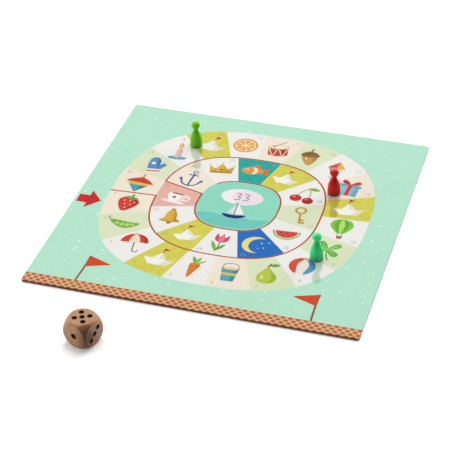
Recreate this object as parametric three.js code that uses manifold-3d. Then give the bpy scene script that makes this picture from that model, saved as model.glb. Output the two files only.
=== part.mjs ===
// A children's race-game set: a folding board of two card leaves, three turned pawns and one die.
// Millimetres, +Z up. The set stands on the table plane z = 0, and the board's front edge faces -Y.

import * as THREE from 'three';
import { mergeVertices } from 'three/addons/utils/BufferGeometryUtils.js';
import Module from 'manifold-3d';

const wasm = await Module();
wasm.setup();

// Board outline and fold
const boardSide = 300;
const cornerRadius = 2;
const edgeRound = 0.5;
const foldGap = 0.3;

// Layers of one leaf, from the table up: backing sheet, core, printed sheet, with glue between them
const backingThickness = 0.2;
const coreThickness = 2.3;
const printThickness = 0.2;
const tapeThickness = 0.15;
const glueLine = 0.05;

// Widths of the layers' laps
const backingInset = 3;
const turnInWidth = 14;
const mitreSlit = 0.4;
const tapeWing = 12;
const tapeEndInset = 2;

// Pawn, turned in one piece
const pawnHeight = 27.2;
const pawnBaseDiameter = 12;
const pawnFootRound = 1.2;
const pawnHeadDiameter = 8.5;
const pawnNeckDiameter = 4.9;
const pawnNeckLength = 2.7;

// Form of the pawn's bell: how far up it stays full, how high its shoulder sits, both as shares of the
// bell's height, and how wide the shoulder is, in neck diameters
const bellFullness = 0.73;
const shoulderRise = 0.83;
const shoulderWidth = 1.5;

// Die: a cube whose corners and edges are turned off to a sphere, with drilled pips
const dieSide = 24.5;
const dieBallDiameter = 33.2;
const pipDiameter = 4.2;
const singlePipDiameter = 5;
const pipDepth = 0.9;
const pipPitch = 4.5;

// Where the loose pieces stand: distances in from the board's edges, and of the die out from its front
const limePlace = { fromLeft: 81.9, fromBack: 56.2 };
const redPlace = { fromRight: 70, fromBack: 100.9 };
const emeraldPlace = { fromRight: 60.8, fromFront: 97.9 };
const diePlace = { fromLeft: 81.3, inFront: 58.8 };
const dieTurn = THREE.MathUtils.degToRad(-18.84);

// Fineness of the round forms
const cornerSegments = 6;
const edgeSegments = 3;
const pawnSegments = 28;
const footSteps = 3;
const bellSteps = 8;
const headSteps = 10;
const ballSegments = 48;
const pipSegments = 14;
const pipSteps = 3;

// Levels of the layers above the table
const coreLow = backingThickness + glueLine;
const coreHigh = coreLow + coreThickness;
const printLow = coreHigh + glueLine;
const boardThickness = printLow + printThickness;
const turnInLow = coreLow;
const turnInHigh = turnInLow + printThickness;
const tapeLow = coreHigh - tapeThickness;
const flangeTop = tapeLow - 2 * glueLine;

// Faces of the layers, measured from the fold line or from the middle of the board
const foldFace = foldGap / 2;
const coreFoldFace = foldFace + backingThickness + glueLine;
const halfBoard = boardSide / 2;
const backingReach = halfBoard - backingInset;
const turnInReach = halfBoard - turnInWidth;
const tapeReach = halfBoard - tapeEndInset;
const wrapOffset = printThickness + glueLine;

// Merges shared corners and drops flat triangles, so that the surface is one closed skin.
function closeSkin(geometry) {
  geometry.deleteAttribute('normal');
  geometry.deleteAttribute('uv');
  const merged = mergeVertices(geometry);
  const corners = merged.getIndex().array;
  const kept = [];
  for (let i = 0; i < corners.length; i += 3) {
    const [a, b, c] = [corners[i], corners[i + 1], corners[i + 2]];
    if (a !== b && b !== c && c !== a) {
      kept.push(a, b, c);
    }
  }
  merged.setIndex(kept);
  return merged;
}

function toSolid(geometry) {
  const skin = closeSkin(geometry);
  return new wasm.Manifold(new wasm.Mesh({
    numProp: 3,
    vertProperties: new Float32Array(skin.getAttribute('position').array),
    triVerts: new Uint32Array(skin.getIndex().array),
  }));
}

function toGeometry(solid) {
  const { vertProperties, triVerts } = solid.getMesh();
  const geometry = new THREE.BufferGeometry();
  geometry.setAttribute('position', new THREE.BufferAttribute(new Float32Array(vertProperties), 3));
  geometry.setIndex(new THREE.BufferAttribute(new Uint32Array(triVerts), 1));
  geometry.computeVertexNormals();
  return geometry;
}

// A block between two corners.
function block(low, high) {
  const size = high.map((value, axis) => value - low[axis]);
  const middle = high.map((value, axis) => (value + low[axis]) / 2);
  return toSolid(new THREE.BoxGeometry(...size).translate(...middle));
}

// A square plate with round corners and softened edges, centred on the board.
function roundedPlate(side, radius, low, high, edge) {
  const half = side / 2;
  const straight = half - radius;
  const outline = new THREE.Shape();
  outline.absarc(straight, -straight, radius, -Math.PI / 2, 0);
  outline.absarc(straight, straight, radius, 0, Math.PI / 2);
  outline.absarc(-straight, straight, radius, Math.PI / 2, Math.PI);
  outline.absarc(-straight, -straight, radius, Math.PI, 1.5 * Math.PI);
  const plate = new THREE.ExtrudeGeometry(outline, {
    depth: high - low - 2 * edge,
    curveSegments: cornerSegments,
    bevelThickness: edge,
    bevelSize: edge,
    bevelOffset: -edge,
    bevelSegments: edgeSegments,
  });
  return toSolid(plate.translate(0, 0, low + edge));
}

// The right-hand part of the board, from a face beside the fold outwards.
function rightOf(face) {
  return block([face, -boardSide, -boardSide], [boardSide, boardSide, boardSide]);
}

// Radius of a round that lies a given depth inside the wrapped edge.
function innerRound(outerRound, depth) {
  return Math.max(outerRound - depth, glueLine);
}

// Printed sheet of one leaf: it covers the top, turns down over the three outer edges and is turned in
// beneath the core. The turn-in is mitred at the corners and stops short of the fold.
function printSheet() {
  const outside = roundedPlate(boardSide, cornerRadius, turnInLow, boardThickness, edgeRound);
  const inside = roundedPlate(
    boardSide - 2 * printThickness,
    innerRound(cornerRadius, printThickness),
    turnInHigh,
    printLow,
    innerRound(edgeRound, printThickness),
  );
  const window = block([-turnInReach, -turnInReach, 0], [turnInReach, turnInReach, coreHigh]);
  const flangeRoom = block(
    [0, -backingReach - glueLine, 0],
    [coreFoldFace, backingReach + glueLine, flangeTop + glueLine],
  );
  let sheet = outside.subtract(inside).subtract(window).subtract(flangeRoom);
  for (const end of [-1, 1]) {
    sheet = sheet.subtract(mitreCut(end));
  }
  return toGeometry(sheet.intersect(rightOf(foldFace)));
}

// Diagonal slit through the turn-in at the front (-1) or back (1) outer corner.
function mitreCut(end) {
  const length = Math.SQRT2 * (turnInWidth - cornerRadius);
  const slit = new THREE.BoxGeometry(length, mitreSlit, 2 * turnInHigh);
  const middle = halfBoard - cornerRadius - (turnInWidth - cornerRadius) / 2;
  slit.rotateZ(end * Math.PI / 4);
  return toSolid(slit.translate(middle, end * middle, 0));
}

// Grey card core: its underside is stepped for the turn-in, and its top for the hinge tape.
function core() {
  const upper = roundedPlate(
    boardSide - 2 * wrapOffset,
    innerRound(cornerRadius, wrapOffset),
    turnInHigh + glueLine,
    coreHigh,
    innerRound(edgeRound, wrapOffset),
  );
  const lowerReach = turnInReach - glueLine;
  const lower = block([-lowerReach, -lowerReach, coreLow], [lowerReach, lowerReach, tapeLow - glueLine]);
  const tapeRoom = block(
    [0, -tapeReach - glueLine, tapeLow - glueLine],
    [foldFace + tapeWing + glueLine, tapeReach + glueLine, boardThickness],
  );
  return toGeometry(upper.add(lower).subtract(tapeRoom).intersect(rightOf(coreFoldFace)));
}

// One wing of the hinge tape, let into the core below the printed sheet.
function hingeTape() {
  const tape = new THREE.BoxGeometry(tapeWing, 2 * tapeReach, tapeThickness);
  return closeSkin(tape.translate(foldFace + tapeWing / 2, 0, tapeLow + tapeThickness / 2));
}

// Backing sheet: it lines the underside and turns up the fold face of the core, round a paper fold.
function backingSheet() {
  const innerFace = foldFace + backingThickness;
  const profile = new THREE.Shape();
  profile.moveTo(backingReach, 0);
  profile.lineTo(backingReach, backingThickness);
  profile.lineTo(innerFace, backingThickness);
  profile.lineTo(innerFace, flangeTop);
  profile.lineTo(foldFace, flangeTop);
  profile.absarc(innerFace, backingThickness, backingThickness, Math.PI, 1.5 * Math.PI);
  const sheet = new THREE.ExtrudeGeometry(profile, {
    depth: 2 * backingReach,
    curveSegments: edgeSegments,
    bevelEnabled: false,
  });
  return closeSkin(sheet.rotateX(Math.PI / 2).translate(0, backingReach, 0));
}

// Pawn: flat foot, bell body, narrow neck and ball head, turned about its own axis.
function pawn() {
  const baseRadius = pawnBaseDiameter / 2;
  const neckRadius = pawnNeckDiameter / 2;
  const headRadius = pawnHeadDiameter / 2;
  const headMiddle = pawnHeight - headRadius;
  const neckAngle = Math.acos(neckRadius / headRadius);
  const neckTop = headMiddle - headRadius * Math.sin(neckAngle);
  const bellTop = neckTop - pawnNeckLength;
  const bellHeight = bellTop - pawnFootRound;
  const foot = new THREE.EllipseCurve(
    baseRadius - pawnFootRound, pawnFootRound, pawnFootRound, pawnFootRound, -Math.PI / 2, 0);
  const bell = new THREE.CubicBezierCurve(
    new THREE.Vector2(baseRadius, pawnFootRound),
    new THREE.Vector2(baseRadius, pawnFootRound + bellFullness * bellHeight),
    new THREE.Vector2(shoulderWidth * neckRadius, pawnFootRound + shoulderRise * bellHeight),
    new THREE.Vector2(neckRadius, bellTop),
  );
  const head = new THREE.EllipseCurve(0, headMiddle, headRadius, headRadius, -neckAngle, Math.PI / 2);
  const profile = [
    new THREE.Vector2(0, 0),
    ...foot.getPoints(footSteps),
    ...bell.getPoints(bellSteps).slice(1),
    ...head.getPoints(headSteps).slice(0, -1),
    new THREE.Vector2(0, pawnHeight),
  ];
  return closeSkin(new THREE.LatheGeometry(profile, pawnSegments).rotateX(Math.PI / 2));
}

// Places of the pips on a face, in steps of the pip pitch.
const pipLayouts = {
  1: [[0, 0]],
  2: [[-1, -1], [1, 1]],
  3: [[-1, -1], [0, 0], [1, 1]],
  4: [[-1, -1], [1, -1], [-1, 1], [1, 1]],
  5: [[-1, -1], [1, -1], [0, 0], [-1, 1], [1, 1]],
  6: [[-1, -1], [-1, 0], [-1, 1], [1, -1], [1, 0], [1, 1]],
};

// Faces of the die, opposite ones adding up to seven: the outward normal and the two ways along the face.
const dieFaces = [
  { count: 5, out: [0, 0, 1], across: [1, 0, 0] },
  { count: 2, out: [0, 0, -1], across: [1, 0, 0] },
  { count: 3, out: [1, 0, 0], across: [0, 1, 0] },
  { count: 4, out: [-1, 0, 0], across: [0, 1, 0] },
  { count: 1, out: [0, -1, 0], across: [1, 0, 0] },
  { count: 6, out: [0, 1, 0], across: [1, 0, 0] },
];

// Drill that leaves a round dish: its tip is a cap of a ball, and its axis runs along +Z from the tip.
function pipDrill(diameter) {
  const radius = diameter / 2;
  const ballRadius = (radius * radius + pipDepth * pipDepth) / (2 * pipDepth);
  const capAngle = Math.asin(radius / ballRadius);
  const cap = new THREE.EllipseCurve(0, ballRadius - pipDepth, ballRadius, ballRadius,
    -Math.PI / 2, -Math.PI / 2 + capAngle);
  const profile = [
    new THREE.Vector2(0, -pipDepth),
    ...cap.getPoints(pipSteps).slice(1),
    new THREE.Vector2(radius, pipDepth),
    new THREE.Vector2(0, pipDepth),
  ];
  return new THREE.LatheGeometry(profile, pipSegments).rotateX(Math.PI / 2);
}

// Die: cube and ball in common, then one drilled dish for each pip, with a wider one for the single pip.
function die() {
  const half = dieSide / 2;
  const cube = toSolid(new THREE.BoxGeometry(dieSide, dieSide, dieSide));
  const ball = new THREE.SphereGeometry(dieBallDiameter / 2, ballSegments, ballSegments / 2);
  let body = cube.intersect(toSolid(ball));
  for (const { count, out, across } of dieFaces) {
    const outward = new THREE.Vector3(...out);
    const sideways = new THREE.Vector3(...across);
    const upward = new THREE.Vector3().crossVectors(outward, sideways);
    const diameter = count === 1 ? singlePipDiameter : pipDiameter;
    for (const [column, row] of pipLayouts[count]) {
      const seat = outward.clone().multiplyScalar(half);
      seat.addScaledVector(sideways, column * pipPitch).addScaledVector(upward, row * pipPitch);
      const placed = new THREE.Matrix4().makeBasis(sideways, upward, outward).setPosition(seat);
      body = body.subtract(toSolid(pipDrill(diameter).applyMatrix4(placed)));
    }
  }
  return toGeometry(body);
}

function finish(color, roughness) {
  return new THREE.MeshStandardMaterial({ color, roughness, metalness: 0 });
}

function piece(name, geometry, material) {
  const mesh = new THREE.Mesh(geometry, material);
  mesh.name = name;
  return mesh;
}

// One leaf of the board, as it lies to the right of the fold.
function leaf(side) {
  const group = new THREE.Group();
  group.add(piece(`${side}_backing_sheet`, backingSheet(), finish(0xf1eee6, 0.7)));
  group.add(piece(`${side}_core`, core(), finish(0xa39c90, 0.95)));
  group.add(piece(`${side}_hinge_tape`, hingeTape(), finish(0xe9e4d6, 0.8)));
  group.add(piece(`${side}_print_sheet`, printSheet(), finish(0xb1e4c8, 0.2)));
  return group;
}

const set = new THREE.Group();

const rightLeaf = leaf('right');
const leftLeaf = leaf('left');
leftLeaf.rotation.z = Math.PI;
set.add(rightLeaf, leftLeaf);

const limePawn = piece('lime_pawn', pawn(), finish(0x55a51e, 0.2));
limePawn.position.set(limePlace.fromLeft - halfBoard, halfBoard - limePlace.fromBack, boardThickness);
const redPawn = piece('red_pawn', pawn(), finish(0xa01c1e, 0.2));
redPawn.position.set(halfBoard - redPlace.fromRight, halfBoard - redPlace.fromBack, boardThickness);
const emeraldPawn = piece('emerald_pawn', pawn(), finish(0x1f9a50, 0.2));
emeraldPawn.position.set(
  halfBoard - emeraldPlace.fromRight, emeraldPlace.fromFront - halfBoard, boardThickness);
set.add(limePawn, redPawn, emeraldPawn);

const woodenDie = piece('wooden_die', die(), finish(0xbf8d62, 0.55));
woodenDie.position.set(diePlace.fromLeft - halfBoard, -halfBoard - diePlace.inFront, dieSide / 2);
woodenDie.rotation.z = dieTurn;
set.add(woodenDie);

// The origin is the middle of the set's footprint on the table.
const footprint = new THREE.Box3().setFromObject(set, true).getCenter(new THREE.Vector3());
set.position.set(-footprint.x, -footprint.y, 0);

export default set;
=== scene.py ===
# %% [markdown]
# # A folding race-game board with its pawns and die
# The set is a square card board that folds down the middle, three lacquered pawns and a wooden die. The
# card, the pawns and the die come from a finished construction model, which is loaded first as a fixed
# frame. This lesson gives each piece its surface: fine meshes worked out with numpy, and materials made of
# shader nodes.

# %% Load the construction model
import math
from functools import partial

import bpy
import numpy as np
from mathutils import Matrix, Vector
from mathutils.geometry import delaunay_2d_cdt


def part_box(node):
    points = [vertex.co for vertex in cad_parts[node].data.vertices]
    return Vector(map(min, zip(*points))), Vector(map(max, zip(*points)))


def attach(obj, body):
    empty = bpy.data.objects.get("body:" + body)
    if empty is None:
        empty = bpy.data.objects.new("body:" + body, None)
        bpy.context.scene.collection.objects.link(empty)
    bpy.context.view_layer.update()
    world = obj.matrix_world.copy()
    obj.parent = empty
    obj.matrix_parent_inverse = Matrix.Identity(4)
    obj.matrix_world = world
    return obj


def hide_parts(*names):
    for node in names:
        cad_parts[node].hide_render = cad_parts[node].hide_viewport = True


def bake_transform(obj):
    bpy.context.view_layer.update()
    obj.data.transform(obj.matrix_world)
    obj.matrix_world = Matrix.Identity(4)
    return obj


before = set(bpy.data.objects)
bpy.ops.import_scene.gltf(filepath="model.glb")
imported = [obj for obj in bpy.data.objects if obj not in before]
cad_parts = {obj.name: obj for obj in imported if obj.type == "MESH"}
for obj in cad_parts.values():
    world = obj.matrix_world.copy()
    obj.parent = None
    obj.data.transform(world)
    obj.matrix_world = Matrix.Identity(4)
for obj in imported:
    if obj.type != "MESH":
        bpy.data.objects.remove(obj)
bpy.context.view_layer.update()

MM = 0.001
scene = bpy.context.scene
left_low, left_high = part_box("left_print_sheet")
right_low, right_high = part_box("right_print_sheet")
board_side = (right_high.x - left_low.x) / MM
board_middle = Vector(((left_low.x + right_high.x) / 2, (left_low.y + left_high.y) / 2, 0.0))
board_top = right_high.z / MM
print(f"board {board_side:.1f} mm square, {board_top:.2f} mm thick, middle at {board_middle[:]}")

# %% [markdown]
# ## Small helpers
# Colours are written as sRGB hex values, as a paint chart gives them, and Blender wants linear light, so
# one function converts them. One function adds a shader node with its settings and links, one starts a
# material without nodes, and one gives the place of a point in millimetres. One turns numpy arrays into a
# mesh object that sits at the origin, with its place in its vertices.

# %% Colour, node and mesh helpers
def linear(hex_colour):
    """Linear RGBA of an sRGB hex colour.

    A dark channel is divided by 12.92. Any other has 0.055 added, is divided by 1.055 and is raised to the
    power of 2.4."""
    channels = np.array([int(hex_colour[i:i + 2], 16) for i in (1, 3, 5)]) / 255
    light = np.where(channels <= 0.04045, channels / 12.92, ((channels + 0.055) / 1.055) ** 2.4)
    return (*light, 1.0)


def add_node(tree, kind, inputs=None, **settings):
    """Adds a shader node with its settings, and gives each input a value or a link from another node.

    A Mix node keeps a set of sockets for each kind of data, so a name stands for the first input of that
    name that is in use, and a node in place of a socket stands for its first output in use."""
    node = tree.nodes.new("ShaderNode" + kind)
    for name, value in settings.items():
        setattr(node, name, value)
    for name, source in (inputs or {}).items():
        in_use = [socket for socket in node.inputs if socket.enabled and socket.name == name]
        socket = in_use[0] if in_use else node.inputs[name]
        if isinstance(source, bpy.types.Node):
            source = next(output for output in source.outputs if output.enabled)
        if isinstance(source, bpy.types.NodeSocket):
            tree.links.new(source, socket)
        else:
            socket.default_value = source
    return node


def new_material(name):
    """A node material without nodes, and the function that adds nodes to it."""
    material = bpy.data.materials.new(name)
    material.use_nodes = True
    material.node_tree.nodes.clear()
    return material, partial(add_node, material.node_tree)


def place_in_mm(add, middle=(0, 0, 0), turn=0.0):
    """An object's own coordinates in millimetres, from a middle and turned by degrees with a piece."""
    texture = add("TexCoord")
    return add("Mapping", {"Vector": texture.outputs["Object"], "Location": middle,
                           "Rotation": (0, 0, math.radians(turn)), "Scale": (MM, MM, MM)},
               vector_type="TEXTURE")


def mesh_object(name, points_mm, faces, material, smooth=True):
    """A mesh from an array of points in millimetres and a list of faces, with its place in its points."""
    mesh = bpy.data.meshes.new(name)
    mesh.from_pydata(np.asarray(points_mm) * MM, [], faces)
    mesh.polygons.foreach_set("use_smooth", np.full(len(mesh.polygons), smooth))
    mesh.materials.append(material)
    mesh.update()
    made = bpy.data.objects.new(name, mesh)
    scene.collection.objects.link(made)
    print(f"{name}: {len(mesh.vertices)} points, {len(mesh.polygons)} faces")
    return made


print("helpers ready")

# %% [markdown]
# ## The camera
# The photographer stood in front of the board, a little to its right, and looked down at about 35 degrees.
# The place was worked out from the four corners of the board: on a square board of known side, four corners
# fix where the camera stood, how it was turned and how long its lens was.

# %% Camera at the photograph's angle
camera_place_mm = Vector((353.8, -1141.5, 843.1))
camera_azimuth = math.radians(17.720)
camera_elevation = math.radians(35.758)
camera_roll = math.radians(-1.381)
picture_width = 450
focal_pixels = 1597.3

camera_data = bpy.data.cameras.new("camera")
camera_data.sensor_width = 36.0
camera_data.lens = camera_data.sensor_width * focal_pixels / picture_width
camera_data.clip_start = 0.05
camera = bpy.data.objects.new("camera", camera_data)
scene.collection.objects.link(camera)
back = Vector((math.sin(camera_azimuth) * math.cos(camera_elevation),
               -math.cos(camera_azimuth) * math.cos(camera_elevation),
               math.sin(camera_elevation)))
aim = (-back).to_track_quat("-Z", "Y").to_matrix().to_4x4()
board_top_middle = board_middle + Vector((0, 0, board_top * MM))
camera.matrix_world = (Matrix.Translation(board_top_middle + camera_place_mm * MM) @ aim
                       @ Matrix.Rotation(camera_roll, 4, "Z"))
scene.camera = camera
print(f"lens {camera_data.lens:.1f} mm, camera at {camera.matrix_world.translation[:]}")

# %% [markdown]
# ## Floor and light
# The photograph is a product shot on white paper in a white studio. A large floor keeps the soft shadows.
# The light is plain: a soft box high above the board, a low one at its left, a low one far behind it on
# the right, a weak one in front, and a white tent that is bright behind the set and dark towards the
# photographer. The tent is white where the camera looks straight at it, and the paper a little brighter
# there than its light alone would make it. Gloss shows the tent but not the soft boxes, which would stand
# in the board's film as hard white squares.

# %% Paper floor
floor_half_side_mm = 6000.0
near_floor, far_floor = 0.5, 3.0
near_glow, far_glow = 0.24, 1.0


def paper_floor():
    """A flat square of paper, lit by the lamps.

    A glow for the camera alone is small near the set, and grows far away, where the lamps' light falls
    off."""
    material, add = new_material("white_studio_paper")
    paper = add("BsdfDiffuse", {"Color": linear("#f4f4f4")})
    path = add("LightPath")
    texture = add("TexCoord")
    away = add("VectorMath", {0: texture.outputs["Object"]}, operation="LENGTH")
    faded = add("MapRange", {"Value": away, "From Min": near_floor, "From Max": far_floor,
                             "To Min": near_glow, "To Max": far_glow})
    share = add("Math", {0: path.outputs["Is Camera Ray"], 1: faded}, operation="MULTIPLY")
    glow = add("Emission", {"Color": (1, 1, 1, 1), "Strength": share})
    both = add("AddShader", {0: paper, 1: glow})
    add("OutputMaterial", {"Surface": both})
    square = floor_half_side_mm * np.array([(-1, -1, 0), (1, -1, 0), (1, 1, 0), (-1, 1, 0)])
    return mesh_object("floor", square, [[0, 1, 2, 3]], material, smooth=False)


floor = paper_floor()

# %% World and lamps
tent_bright_way = (-0.34, 0.94, 0.0)
tent_dark_end, tent_bright_end = -0.3, 0.6
tent_front, tent_back = 0.0, 1.05


def studio_world():
    """A white tent: bright behind the set, dark where the photographer stands, white to the camera.

    The brightness follows the cosine between a direction and the tent's bright way."""
    world = bpy.data.worlds.new("studio")
    world.use_nodes = True
    world.node_tree.nodes.clear()
    add = partial(add_node, world.node_tree)
    path = add("LightPath")
    direct = add("Math", {0: path.outputs["Is Camera Ray"], 1: path.outputs["Is Transmission Ray"]},
                 operation="MAXIMUM")
    way = add("TexCoord")
    along = add("VectorMath", {0: way.outputs["Generated"], 1: tent_bright_way}, operation="DOT_PRODUCT")
    tent = add("MapRange", {"Value": along, "From Min": tent_dark_end, "From Max": tent_bright_end,
                            "To Min": tent_front, "To Max": tent_back})
    strength = add("Math", {0: tent, 1: direct}, operation="MAXIMUM")
    sky = add("Background", {"Color": (1, 1, 1, 1), "Strength": strength})
    add("OutputWorld", {"Surface": sky})
    scene.world = world


def soft_box(name, place, target, side, watts):
    """A square area lamp at a place, turned to face a target, whose own image no gloss shows."""
    data = bpy.data.lights.new(name, "AREA")
    data.size = side
    data.energy = watts
    lamp = bpy.data.objects.new(name, data)
    way = Vector(target) - Vector(place)
    lamp.visible_glossy = False
    lamp.matrix_world = Matrix.Translation(place) @ way.to_track_quat("-Z", "Y").to_matrix().to_4x4()
    scene.collection.objects.link(lamp)


studio_world()
soft_box("key_box", (-0.05, 0.45, 1.9), board_middle, side=1.0, watts=21.5)
soft_box("left_box", (-1.4, -0.35, 0.32), board_middle, side=0.6, watts=8.0)
soft_box("right_box", (0.8, 1.6, 0.42), board_middle, side=0.6, watts=15.0)
soft_box("front_box", (0.5, -1.6, 0.3), board_middle, side=0.6, watts=3.0)
scene.view_settings.view_transform = "Standard"
print("studio ready")

# %% [markdown]
# ## The printed picture, as a painter's list
# A game board's picture is printed on paper in flat, gouache-like colours. It could be an image texture,
# but then its sharpness would end at the pixels. Here each printed shape is an outline in millimetres from
# the middle of the board, with one ink. Later shapes cover earlier ones, as a painter works. The picture is
# a plain race track: two laps of cells with everyday things in them, and a boat in the middle.

# %% Outlines to draw with
def corners(*points):
    """An outline with straight sides through the given points."""
    return np.array(points, float)


def turned(points, degrees):
    """Points turned about the origin: x and y mixed by the cosine and sine of the angle."""
    cosine, sine = math.cos(math.radians(degrees)), math.sin(math.radians(degrees))
    return points @ np.array([[cosine, sine], [-sine, cosine]])


def arc(x, y, radius, start, end, steps=20):
    """Points of a circle between two angles in degrees: the centre plus radius times cosine and sine."""
    angle = np.radians(np.linspace(start, end, steps))
    return np.stack([x + radius * np.cos(angle), y + radius * np.sin(angle)], axis=1)


def oval(x, y, half_wide, half_high, turn=0.0, steps=26):
    """An ellipse: its half axes times cosine and sine of an angle, turned by degrees and moved."""
    ring = arc(0, 0, 1, 0, 360 * (1 - 1 / steps), steps) * (half_wide, half_high)
    return turned(ring, turn) + (x, y)


def soft(points, closed=True, steps=6):
    """A curve through points: cubics whose slope at a point is half the way between its two neighbours."""
    points = np.array(points, float)
    if closed:
        before, start, end, after = (np.roll(points, shift, axis=0) for shift in (1, 0, -1, -2))
    else:
        padded = np.vstack([2 * points[0] - points[1], points, 2 * points[-1] - points[-2]])
        before, start, end, after = padded[:-3], padded[1:-2], padded[2:-1], padded[3:]
    before, start, end, after = (part[:, None, :] for part in (before, start, end, after))
    t = np.linspace(0, 1, steps, endpoint=False)[None, :, None]
    curve = (start + t * (end - before) / 2
             + t ** 2 * (before - 2.5 * start + 2 * end - after / 2)
             + t ** 3 * (1.5 * start - before / 2 - 1.5 * end + after / 2)).reshape(-1, 2)
    return curve if closed else np.vstack([curve, points[-1]])


def both_sides(*half):
    """Points of a shape with two equal sides: one half, and its mirror image in reverse order."""
    return [*half, *((-x, y) for x, y in reversed(half) if x)]


def line(points, width):
    """A line of even width: a soft curve moved half the width to both sides, along its normal."""
    middle = soft(points, closed=False)
    along = np.gradient(middle, axis=0)
    across = np.stack([-along[:, 1], along[:, 0]], axis=1) / np.linalg.norm(along, axis=1, keepdims=True)
    return np.vstack([middle + across * width / 2, (middle - across * width / 2)[::-1]])


print("outlines: corners, arc, oval, soft curve, both sides and line")

# %% The painter's list
printed = []


def ink(outline, colour):
    """Adds an outline to the list, always counter-clockwise: its signed area is made positive."""
    x, y = outline[:, 0], outline[:, 1]
    area = np.sum(x * np.roll(y, -1) - y * np.roll(x, -1))
    printed.append((outline if area > 0 else outline[::-1], linear(colour)))


def stamp(motif, middle, size, tilt):
    """Prints a motif that is drawn between -1 and 1: scaled to a half size, tilted and moved."""
    for outline, colour in motif:
        ink(turned(outline * size, tilt) + middle, colour)


print("painter's list ready")

# %% [markdown]
# ## The motifs
# Every motif is a short list of outlines from back to front. Most have a main shape, a darker part on the
# shaded side and a lighter part. A few tones are enough, because a motif is only about 30 mm wide.

# %% Motifs: fruit
motifs = {}
motifs["pear"] = [
    (line([(0, .55), (.04, .75), (.16, .95)], .09), "#7b5433"),
    (soft(both_sides((0, .62), (.26, .28), (.56, -.2), (.48, -.7), (0, -.9))), "#bccb4c"),
    (soft([(.14, .44), (.34, .05), (.53, -.25), (.42, -.66), (.1, -.84), (.3, -.45), (.22, 0)]),
     "#a2b53c"),
    (oval(-.26, -.3, .08, .22, 10), "#dfe69a"),
    (soft([(.08, .74), (.34, .95), (.68, .86), (.4, .66)]), "#74a64c"),
]
motifs["cherries"] = [
    (line([(-.4, -.2), (-.2, .35), (.15, .85)], .06), "#6f8f3f"),
    (line([(.42, -.3), (.4, .3), (.15, .85)], .06), "#6f8f3f"),
    (soft([(.13, .85), (.5, 1), (.92, .8), (.5, .64)]), "#7fae4b"),
    (oval(-.42, -.45, .41, .38), "#cb3a33"),
    (oval(-.55, -.32, .1, .07, 30), "#f2aaa0"),
    (oval(.44, -.55, .38, .37), "#b52d2c"),
    (oval(.32, -.42, .1, .07, 30), "#e99187"),
]
strawberry_seeds = [(-.28, .12), (.05, .2), (.36, .1), (-.14, -.2), (.2, -.18), (.02, -.54)]
motifs["strawberry"] = [
    (soft(both_sides((0, -.92), (-.5, -.35), (-.62, .22), (-.2, .5))), "#dc4641"),
    (soft([(.25, .47), (.6, .2), (.48, -.35), (.05, -.85), (.3, -.3), (.36, .1)]), "#bf3534"),
    *[(oval(x, y, .04, .07), "#f8de9a") for x, y in strawberry_seeds],
    (corners((-.55, .38), (-.2, .44), (0, .3), (.2, .44), (.55, .38), (.3, .6), (.1, .62), (.06, .9),
             (-.06, .9), (-.1, .62), (-.3, .6)), "#70a84b"),
]
melon_rounds = [(.92, "#6fae4d"), (.82, "#eaf2cc"), (.74, "#e4574e")]
melon_seeds = [(-.4, .08, -20), (-.16, -.1, -8), (.14, -.1, 8), (.4, .08, 20), (0, .14, 0)]
motifs["melon"] = [
    *[(arc(0, .32, reach, 180, 360, 28), colour) for reach, colour in melon_rounds],
    *[(oval(x, y, .04, .08, turn), "#46302f") for x, y, turn in melon_seeds],
]
motifs["orange"] = [
    (oval(0, 0, .78, .78, steps=36), "#f0a23a"),
    (oval(0, 0, .66, .66, steps=36), "#fce8c4"),
    *[(np.vstack([turned(corners((.09, 0)), turn), arc(0, 0, .58, turn - 18, turn + 18, 8)]), "#f5b452")
      for turn in range(0, 360, 45)],
]
print(f"fruit: {list(motifs)}")

# %% Motifs: plants
motifs["carrot"] = [
    (soft([(0, .3), (-.3, .6), (-.38, .95), (-.1, .72)]), "#7fb04a"),
    (soft([(.02, .3), (.22, .6), (.5, .86), (.3, .5)]), "#7fb04a"),
    (soft([(0, .3), (-.08, .75), (.08, 1), (.16, .72)]), "#97c65d"),
    (soft([(-.3, .3), (0, .42), (.3, .3), (.24, -.15), (0, -.98), (-.24, -.15)]), "#ea8a3d"),
    (soft([(.12, .38), (.29, .28), (.23, -.15), (.02, -.9), (.12, -.15)]), "#d9742a"),
    (line([(-.27, .08), (-.14, .05), (-.02, .07)], .05), "#c8641f"),
    (line([(-.22, -.3), (-.1, -.33), (.0, -.31)], .05), "#c8641f"),
]
peas = [(-.42, -.03, .15), (-.1, -.11, .17), (.24, -.13, .17), (.53, -.06, .13)]
motifs["pea_pod"] = [
    (line([(-.9, .25), (-1, .42), (-.9, .58)], .07), "#6c9a3c"),
    (soft([(-.93, .27), (-.4, -.32), (.3, -.45), (.95, .08), (.3, .16), (-.4, .26)]), "#7fb548"),
    (soft([(-.72, .16), (-.36, -.2), (.28, -.32), (.75, .04), (.28, .02), (-.36, .14)]), "#5f9836"),
    *[(oval(x, y, radius, radius), "#b3da76") for x, y, radius in peas],
]
motifs["acorn"] = [
    (line([(0, .55), (.04, .75), (.12, .94)], .1), "#70502f"),
    (soft(both_sides((-.42, .15), (-.42, -.3), (0, -.92))), "#cb9d5c"),
    (soft([(.16, .15), (.4, .12), (.4, -.3), (.06, -.84), (.24, -.3)]), "#b08246"),
    (oval(-.2, -.16, .06, .2, 8), "#ebd0a0"),
    (soft([(-.56, .1), (-.45, .45), (0, .64), (.45, .45), (.56, .1), (0, 0)]), "#8b6740"),
    (line([(-.44, .24), (0, .32), (.44, .24)], .04), "#6d4f2f"),
    (line([(-.3, .42), (0, .48), (.3, .42)], .04), "#6d4f2f"),
]
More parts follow.
